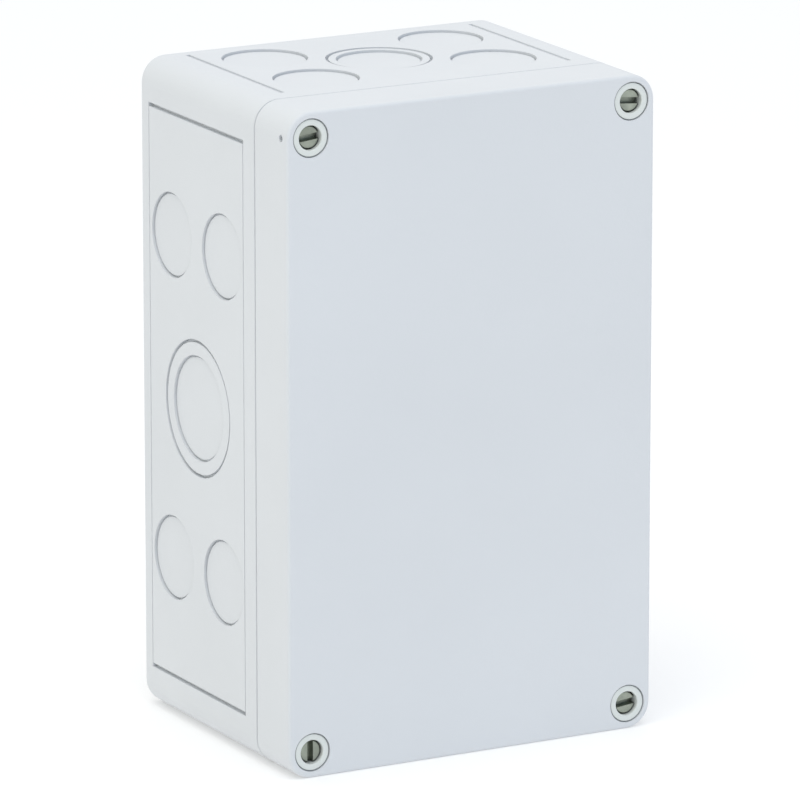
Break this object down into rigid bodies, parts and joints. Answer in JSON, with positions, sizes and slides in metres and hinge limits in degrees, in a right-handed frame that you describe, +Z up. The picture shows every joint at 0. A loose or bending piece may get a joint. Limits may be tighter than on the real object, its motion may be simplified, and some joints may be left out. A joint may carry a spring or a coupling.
{
  "type": "electrical junction box",
  "caption": "Rectangular plastic electrical junction box with a screwed and sealed lid, knockout cable entries on all sides, and screw terminals on a rail inside.",
  "frame": {"origin": "middle of the underside, on the surface the box stands on", "axes": "+Z up the box's length, +Y from the lid to the wall behind, +X to the right as seen from the lid"},
  "size_m": [0.11, 0.085, 0.18],
  "materials": {
    "shell": "light grey moulded plastic, fine matte texture",
    "collar": "off-white moulded plastic, smooth",
    "seal_foam": "soft foam, matt",
    "seal_rubber": "matt black",
    "brass": "turned",
    "screw_steel": "turned stainless steel",
    "plug": "light grey soft plastic",
    "zinc_steel": "bright zinc plating",
    "plated_steel": "nickel plating",
    "tinned_copper": "tin plating over copper",
    "terminal_grey": "polyamide, satin",
    "neutral_blue": "polyamide, satin",
    "earth_green": "polyamide, green with yellow bands, satin",
    "end_stop_grey": "polyamide, satin"
  },
  "bodies": {
    "base": {"base": "shell", "threaded_inserts": "brass", "left_knockouts": "shell", "left_knockout_ring": "shell", "right_knockouts": "shell", "right_knockout_ring": "shell", "top_knockouts": "shell", "top_knockout_ring": "shell", "bottom_knockouts": "shell", "bottom_knockout_ring": "shell", "fixing_plugs": "plug", "din_rail": "zinc_steel", "rail_screws": "zinc_steel", "earth_terminal_housing": "earth_green", "neutral_terminal_housing": "neutral_blue", "terminal_3_housing": "terminal_grey", "terminal_2_housing": "terminal_grey", "terminal_1_housing": "terminal_grey", "current_bars": "tinned_copper", "earth_foot": "tinned_copper", "end_plate": "terminal_grey", "lower_end_stop": "end_stop_grey", "upper_end_stop": "end_stop_grey", "end_stop_screws": "plated_steel"},
    "lid": {"lid": "shell", "lid_gasket": "seal_foam", "lid_screw_collars": "collar"},
    "screw_seal_top_left": {"screw_seal_top_left": "seal_rubber"},
    "lid_screw_top_left": {"lid_screw_top_left": "screw_steel"},
    "screw_seal_top_right": {"screw_seal_top_right": "seal_rubber"},
    "lid_screw_top_right": {"lid_screw_top_right": "screw_steel"},
    "screw_seal_bottom_left": {"screw_seal_bottom_left": "seal_rubber"},
    "lid_screw_bottom_left": {"lid_screw_bottom_left": "screw_steel"},
    "screw_seal_bottom_right": {"screw_seal_bottom_right": "seal_rubber"},
    "lid_screw_bottom_right": {"lid_screw_bottom_right": "screw_steel"},
    "earth_terminal_left_cage": {"earth_terminal_left_cage": "plated_steel"},
    "earth_terminal_left_screw": {"earth_terminal_left_screw": "plated_steel"},
    "earth_terminal_right_cage": {"earth_terminal_right_cage": "plated_steel"},
    "earth_terminal_right_screw": {"earth_terminal_right_screw": "plated_steel"},
    "neutral_terminal_left_cage": {"neutral_terminal_left_cage": "plated_steel"},
    "neutral_terminal_left_screw": {"neutral_terminal_left_screw": "plated_steel"},
    "neutral_terminal_right_cage": {"neutral_terminal_right_cage": "plated_steel"},
    "neutral_terminal_right_screw": {"neutral_terminal_right_screw": "plated_steel"},
    "terminal_3_left_cage": {"terminal_3_left_cage": "plated_steel"},
    "terminal_3_left_screw": {"terminal_3_left_screw": "plated_steel"},
    "terminal_3_right_cage": {"terminal_3_right_cage": "plated_steel"},
    "terminal_3_right_screw": {"terminal_3_right_screw": "plated_steel"},
    "terminal_2_left_cage": {"terminal_2_left_cage": "plated_steel"},
    "terminal_2_left_screw": {"terminal_2_left_screw": "plated_steel"},
    "terminal_2_right_cage": {"terminal_2_right_cage": "plated_steel"},
    "terminal_2_right_screw": {"terminal_2_right_screw": "plated_steel"},
    "terminal_1_left_cage": {"terminal_1_left_cage": "plated_steel"},
    "terminal_1_left_screw": {"terminal_1_left_screw": "plated_steel"},
    "terminal_1_right_cage": {"terminal_1_right_cage": "plated_steel"},
    "terminal_1_right_screw": {"terminal_1_right_screw": "plated_steel"}
  },
  "joints": [
    {"name": "lid_lift_off", "type": "slide", "parent": "base", "child": "lid", "axis": [0, -1, 0], "range_m": [0, 0.06]},
    {"name": "lid_screw_top_left_rise", "type": "slide", "parent": "lid", "child": "screw_seal_top_left", "axis": [0, -1, 0], "range_m": [0, 0.0084]},
    {"name": "lid_screw_top_left_turn", "type": "hinge", "parent": "screw_seal_top_left", "child": "lid_screw_top_left", "pos_m": [-0.048, -0.035, 0.173], "axis": [0, -1, 0], "range_deg": [0, 4330]},
    {"name": "lid_screw_top_right_rise", "type": "slide", "parent": "lid", "child": "screw_seal_top_right", "axis": [0, -1, 0], "range_m": [0, 0.0084]},
    {"name": "lid_screw_top_right_turn", "type": "hinge", "parent": "screw_seal_top_right", "child": "lid_screw_top_right", "pos_m": [0.048, -0.035, 0.173], "axis": [0, -1, 0], "range_deg": [0, 4330]},
    {"name": "lid_screw_bottom_left_rise", "type": "slide", "parent": "lid", "child": "screw_seal_bottom_left", "axis": [0, -1, 0], "range_m": [0, 0.0084]},
    {"name": "lid_screw_bottom_left_turn", "type": "hinge", "parent": "screw_seal_bottom_left", "child": "lid_screw_bottom_left", "pos_m": [-0.048, -0.035, 0.007], "axis": [0, -1, 0], "range_deg": [0, 4330]},
    {"name": "lid_screw_bottom_right_rise", "type": "slide", "parent": "lid", "child": "screw_seal_bottom_right", "axis": [0, -1, 0], "range_m": [0, 0.0084]},
    {"name": "lid_screw_bottom_right_turn", "type": "hinge", "parent": "screw_seal_bottom_right", "child": "lid_screw_bottom_right", "pos_m": [0.048, -0.035, 0.007], "axis": [0, -1, 0], "range_deg": [0, 4330]},
    {"name": "earth_terminal_left_screw_turn", "type": "hinge", "parent": "base", "child": "earth_terminal_left_screw", "pos_m": [-0.011, 0.002, 0.0782], "axis": [0, 1, 0], "range_deg": [0, 2530]},
    {"name": "earth_terminal_left_cage_rise", "type": "slide", "parent": "base", "child": "earth_terminal_left_cage", "axis": [0, -1, 0], "range_m": [0, 0.0035]},
    {"name": "earth_terminal_right_screw_turn", "type": "hinge", "parent": "base", "child": "earth_terminal_right_screw", "pos_m": [0.011, 0.002, 0.0782], "axis": [0, 1, 0], "range_deg": [0, 2530]},
    {"name": "earth_terminal_right_cage_rise", "type": "slide", "parent": "base", "child": "earth_terminal_right_cage", "axis": [0, -1, 0], "range_m": [0, 0.0035]},
    {"name": "neutral_terminal_left_screw_turn", "type": "hinge", "parent": "base", "child": "neutral_terminal_left_screw", "pos_m": [-0.011, 0.002, 0.0844], "axis": [0, 1, 0], "range_deg": [0, 2530]},
    {"name": "neutral_terminal_left_cage_rise", "type": "slide", "parent": "base", "child": "neutral_terminal_left_cage", "axis": [0, -1, 0], "range_m": [0, 0.0035]},
    {"name": "neutral_terminal_right_screw_turn", "type": "hinge", "parent": "base", "child": "neutral_terminal_right_screw", "pos_m": [0.011, 0.002, 0.0844], "axis": [0, 1, 0], "range_deg": [0, 2530]},
    {"name": "neutral_terminal_right_cage_rise", "type": "slide", "parent": "base", "child": "neutral_terminal_right_cage", "axis": [0, -1, 0], "range_m": [0, 0.0035]},
    {"name": "terminal_3_left_screw_turn", "type": "hinge", "parent": "base", "child": "terminal_3_left_screw", "pos_m": [-0.011, 0.002, 0.0906], "axis": [0, 1, 0], "range_deg": [0, 2530]},
    {"name": "terminal_3_left_cage_rise", "type": "slide", "parent": "base", "child": "terminal_3_left_cage", "axis": [0, -1, 0], "range_m": [0, 0.0035]},
    {"name": "terminal_3_right_screw_turn", "type": "hinge", "parent": "base", "child": "terminal_3_right_screw", "pos_m": [0.011, 0.002, 0.0906], "axis": [0, 1, 0], "range_deg": [0, 2530]},
    {"name": "terminal_3_right_cage_rise", "type": "slide", "parent": "base", "child": "terminal_3_right_cage", "axis": [0, -1, 0], "range_m": [0, 0.0035]},
    {"name": "terminal_2_left_screw_turn", "type": "hinge", "parent": "base", "child": "terminal_2_left_screw", "pos_m": [-0.011, 0.002, 0.0968], "axis": [0, 1, 0], "range_deg": [0, 2530]},
    {"name": "terminal_2_left_cage_rise", "type": "slide", "parent": "base", "child": "terminal_2_left_cage", "axis": [0, -1, 0], "range_m": [0, 0.0035]},
    {"name": "terminal_2_right_screw_turn", "type": "hinge", "parent": "base", "child": "terminal_2_right_screw", "pos_m": [0.011, 0.002, 0.0968], "axis": [0, 1, 0], "range_deg": [0, 2530]},
    {"name": "terminal_2_right_cage_rise", "type": "slide", "parent": "base", "child": "terminal_2_right_cage", "axis": [0, -1, 0], "range_m": [0, 0.0035]},
    {"name": "terminal_1_left_screw_turn", "type": "hinge", "parent": "base", "child": "terminal_1_left_screw", "pos_m": [-0.011, 0.002, 0.103], "axis": [0, 1, 0], "range_deg": [0, 2530]},
    {"name": "terminal_1_left_cage_rise", "type": "slide", "parent": "base", "child": "terminal_1_left_cage", "axis": [0, -1, 0], "range_m": [0, 0.0035]},
    {"name": "terminal_1_right_screw_turn", "type": "hinge", "parent": "base", "child": "terminal_1_right_screw", "pos_m": [0.011, 0.002, 0.103], "axis": [0, 1, 0], "range_deg": [0, 2530]},
    {"name": "terminal_1_right_cage_rise", "type": "slide", "parent": "base", "child": "terminal_1_right_cage", "axis": [0, -1, 0], "range_m": [0, 0.0035]}
  ],
  "couplings": [
    {"joint": "lid_screw_top_left_turn", "follows": "lid_screw_top_left_rise", "rad_per_m": 8976},
    {"joint": "lid_screw_top_right_turn", "follows": "lid_screw_top_right_rise", "rad_per_m": 8976},
    {"joint": "lid_screw_bottom_left_turn", "follows": "lid_screw_bottom_left_rise", "rad_per_m": 8976},
    {"joint": "lid_screw_bottom_right_turn", "follows": "lid_screw_bottom_right_rise", "rad_per_m": 8976},
    {"joint": "earth_terminal_left_screw_turn", "follows": "earth_terminal_left_cage_rise", "rad_per_m": 12566},
    {"joint": "earth_terminal_right_screw_turn", "follows": "earth_terminal_right_cage_rise", "rad_per_m": 12566},
    {"joint": "neutral_terminal_left_screw_turn", "follows": "neutral_terminal_left_cage_rise", "rad_per_m": 12566},
    {"joint": "neutral_terminal_right_screw_turn", "follows": "neutral_terminal_right_cage_rise", "rad_per_m": 12566},
    {"joint": "terminal_3_left_screw_turn", "follows": "terminal_3_left_cage_rise", "rad_per_m": 12566},
    {"joint": "terminal_3_right_screw_turn", "follows": "terminal_3_right_cage_rise", "rad_per_m": 12566},
    {"joint": "terminal_2_left_screw_turn", "follows": "terminal_2_left_cage_rise", "rad_per_m": 12566},
    {"joint": "terminal_2_right_screw_turn", "follows": "terminal_2_right_cage_rise", "rad_per_m": 12566},
    {"joint": "terminal_1_left_screw_turn", "follows": "terminal_1_left_cage_rise", "rad_per_m": 12566},
    {"joint": "terminal_1_right_screw_turn", "follows": "terminal_1_right_cage_rise", "rad_per_m": 12566}
  ]
}
